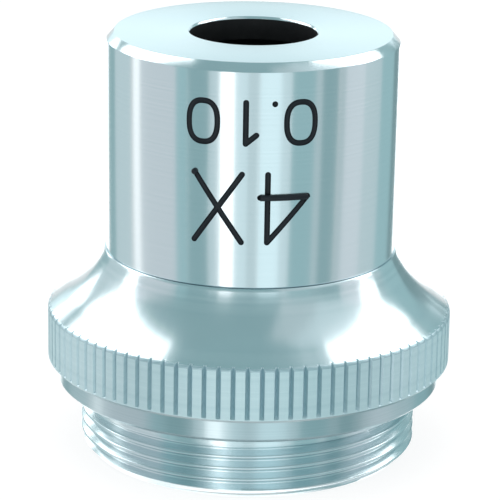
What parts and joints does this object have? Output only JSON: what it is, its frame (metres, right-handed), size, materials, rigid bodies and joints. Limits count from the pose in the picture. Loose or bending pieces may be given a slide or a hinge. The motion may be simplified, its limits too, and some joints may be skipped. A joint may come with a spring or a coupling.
{
  "type": "microscope objective",
  "caption": "Low-power microscope objective: plain nose barrel, flared straight-knurled grip, standard mounting thread, cemented doublet inside.",
  "frame": {"origin": "centre of the mounting thread's end face, on the optical axis", "axes": "+Z along the optical axis, from the mounting thread towards the front face and the specimen; the engraved side faces -Y"},
  "size_m": [0.0242, 0.0242, 0.0256],
  "materials": {
    "satin_metal": "satin plated, finely turned",
    "black_metal": "matt black anodised",
    "crown_glass": "polished, coated",
    "flint_glass": "polished, coated",
    "shim_brass": "plain sheet"
  },
  "bodies": {
    "root": {"aperture_stop": "black_metal", "baffle_front": "black_metal", "baffle_lock_ring": "black_metal", "baffle_rear": "black_metal", "baffle_spacer_front": "black_metal", "baffle_spacer_rear": "black_metal", "barrel": "satin_metal", "cell_lock_ring": "black_metal", "crown_lens": "crown_glass", "flint_lens": "flint_glass", "lens_cell": "black_metal", "lens_retaining_ring": "black_metal", "mount_base": "satin_metal", "parfocal_shim_thick": "shim_brass", "parfocal_shim_thin": "shim_brass", "stop_lock_ring": "black_metal"}
  },
  "joints": []
}
